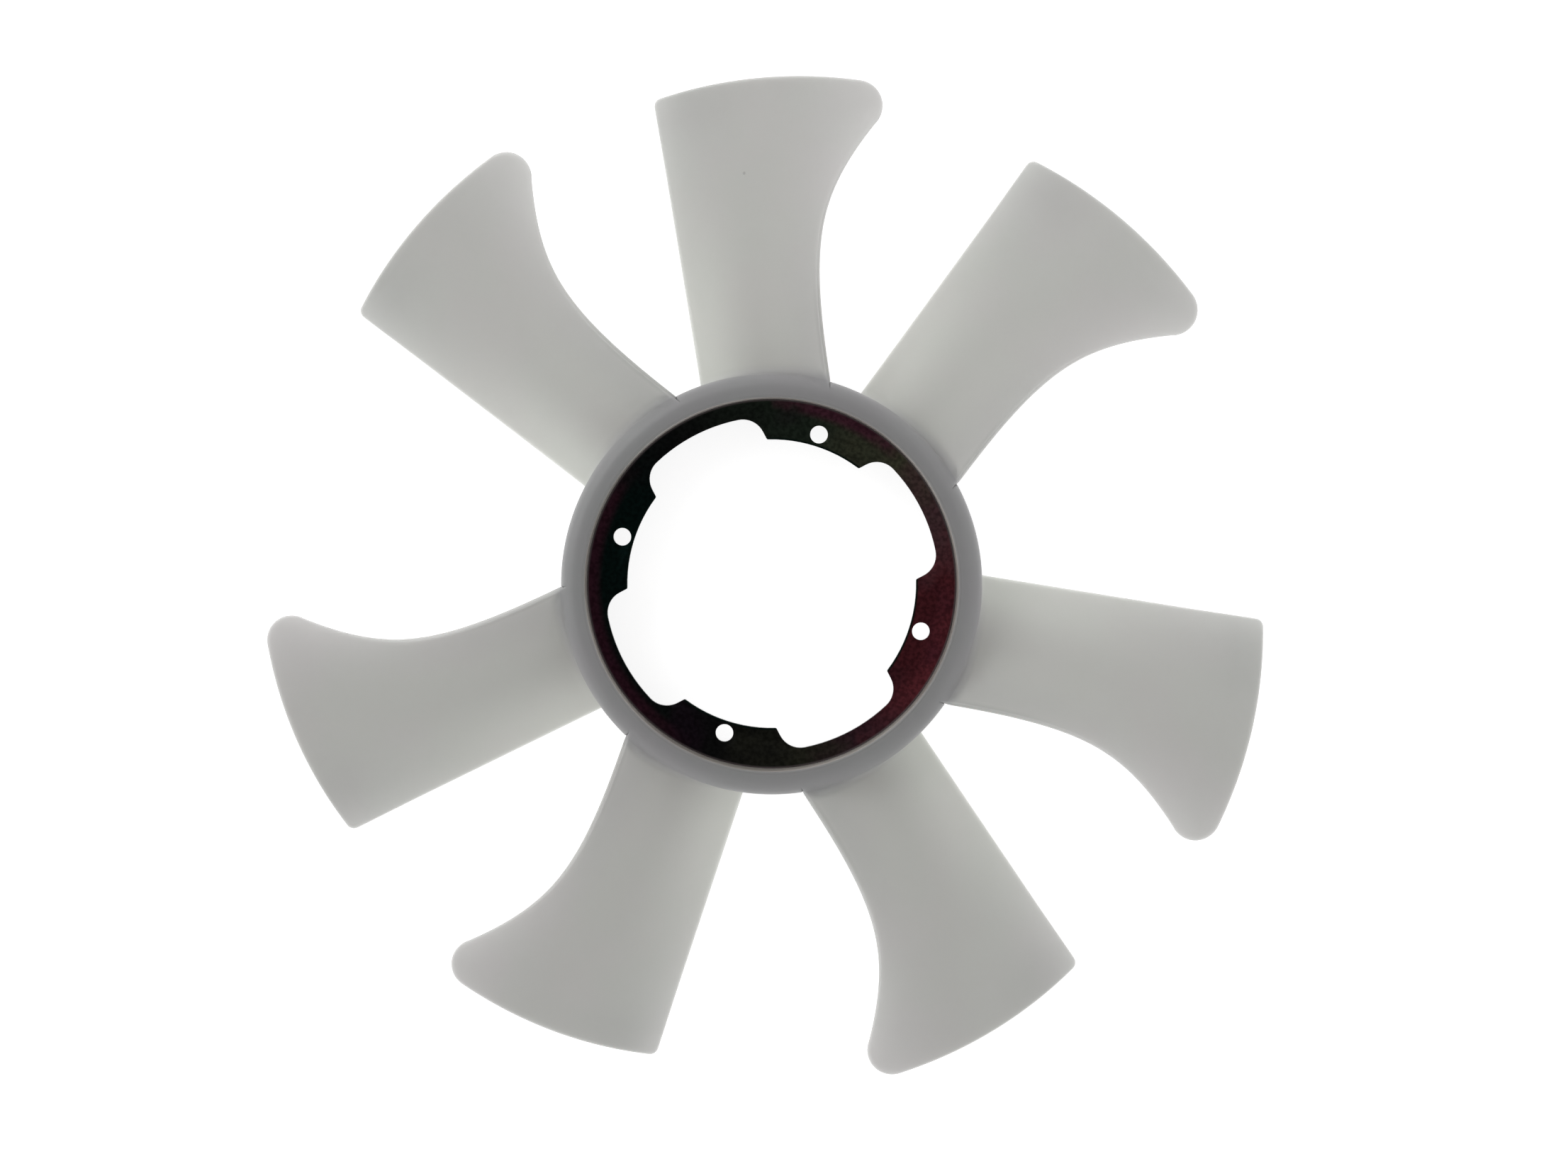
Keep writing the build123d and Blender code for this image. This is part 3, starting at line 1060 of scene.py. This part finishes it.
def tints_round(tree, turn, tints):
    """Sockets with a colour that changes round the ring and with the share that it covers."""
    node = tree.nodes.new("ShaderNodeValToRGB")
    stops = node.color_ramp.elements
    stops.remove(stops[0])
    for n, (angle, tint, share) in enumerate(tints):
        stop = stops[0] if n == 0 else stops.new(angle / 360 + 0.5)
        stop.position = angle / 360 + 0.5
        stop.color = (*tint, share)
    tree.links.new(turn, node.inputs["Fac"])
    return node.outputs["Color"], node.outputs["Alpha"]


def chromated_steel():
    """Dark chromate, black on one side of the ring and crimson, brown, olive and green on the other."""
    material, _, _ = new_material("chromated_steel")
    tree = material.node_tree
    place, radius, _ = place_on_fan(tree)
    patch = math_node(tree, "SUBTRACT", noise(tree, place, PATCH_SCALE, PATCH_DETAIL), 0.5)
    shift = math_node(tree, "MULTIPLY", patch, PATCH_SHIFT)
    turn = math_node(tree, "ADD", turn_on_fan(tree, place), shift)
    colour, _ = tints_round(tree, turn, CHROMATE_TINTS)
    edge_colour, edge_share = tints_round(tree, turn, EDGE_TINTS)
    edge = math_node(tree, "MULTIPLY", share_in_zone(tree, radius, EDGE_TINT_RADII), edge_share)
    colour = blend(tree, edge, colour, edge_colour)
    violet = share_between(tree, noise(tree, place, VIOLET_SCALE, 1.0), *VIOLET_RANGE)
    colour = blend(tree, math_node(tree, "MULTIPLY", violet, VIOLET_SHARE), colour, VIOLET)
    fleck = share_between(tree, noise(tree, place, FLECK_SCALE, 1.0), *FLECK_RANGE)
    colour = blend(tree, FLECK_SHARE, colour, blend(tree, fleck, *FLECK_TONES), "MULTIPLY")
    colour = blend(tree, share_in_zone(tree, radius, LUG_END_RADII), colour, LUG_END_COLOUR)
    colour = blend(tree, share_in_zone(tree, radius, STEEL_BORDER_RADII), colour, STEEL_BORDER_COLOUR)
    finish_surface(tree, colour, STEEL_FINISH)
    return material


def white_floor():
    """Pale floor under the rear rim: white to the eye, with the fan's own soft shadow."""
    low = CAD_BOX[0].z
    mesh = bpy.data.meshes.new("floor")
    signs = ((-1, -1), (1, -1), (1, 1), (-1, 1))
    mesh.from_pydata([(x * FLOOR_REACH, y * FLOOR_REACH, low) for x, y in signs], [], [(0, 1, 2, 3)])
    floor = new_object("floor", mesh)
    material, nodes, links = new_material("white_floor")
    nodes.remove(nodes["Principled BSDF"])
    ray = nodes.new("ShaderNodeLightPath").outputs
    seen = math_node(material.node_tree, "MAXIMUM", ray["Is Camera Ray"], ray["Is Glossy Ray"])
    seen = math_node(material.node_tree, "MAXIMUM", seen, ray["Is Transmission Ray"])
    # The glow that lights the fan from below is stronger than the glow that is seen
    strength = nodes.new("ShaderNodeMapRange")
    strength.inputs["To Min"].default_value = FLOOR_GLOW
    strength.inputs["To Max"].default_value = FLOOR_GLOW_SEEN
    glow = nodes.new("ShaderNodeEmission")
    pale = nodes.new("ShaderNodeBsdfDiffuse")
    pale.inputs["Color"].default_value = FLOOR_COLOUR
    both = nodes.new("ShaderNodeAddShader")
    links.new(seen, strength.inputs["Value"])
    links.new(strength.outputs["Result"], glow.inputs["Strength"])
    links.new(glow.outputs[0], both.inputs[0])
    links.new(pale.outputs[0], both.inputs[1])
    links.new(both.outputs[0], nodes["Material Output"].inputs["Surface"])
    mesh.materials.append(material)


def studio_light():
    """Even white surroundings and one large soft lamp above."""
    world = bpy.data.worlds.new("white_room")
    bpy.context.scene.world = world
    world.use_nodes = True
    room = world.node_tree.nodes["Background"]
    room.inputs["Color"].default_value = (1, 1, 1, 1)
    room.inputs["Strength"].default_value = ROOM_LIGHT
    lamp = bpy.data.lights.new("softbox", "AREA")
    lamp.energy = SOFTBOX_POWER
    lamp.size = SOFTBOX_SIZE
    box = bpy.data.objects.new("softbox", lamp)
    box.location = SOFTBOX_PLACE
    box.rotation_euler = (-box.location).to_track_quat("-Z", "Y").to_euler()
    bpy.context.scene.collection.objects.link(box)


def photo_camera():
    """Camera almost straight above the front of the fan."""
    back = Vector(CAMERA_BACK).normalized()
    up = Vector(CAMERA_UP)
    up = (up - back * up.dot(back)).normalized()
    right = up.cross(back)
    camera = bpy.data.cameras.new("camera")
    camera.sensor_width = SENSOR_WIDTH
    camera.lens = LENS
    camera.shift_x, camera.shift_y = LENS_SHIFT
    eye = bpy.data.objects.new("camera", camera)
    eye.matrix_world = Matrix((right, up, back)).transposed().to_4x4()
    eye.location = back * CAMERA_DISTANCE
    bpy.context.scene.collection.objects.link(eye)
    bpy.context.scene.camera = eye


bpy.context.scene.view_settings.view_transform = "Standard"
make_fan_moulding(milky_plastic())
make_steel_ring(chromated_steel())
white_floor()
studio_light()
photo_camera()
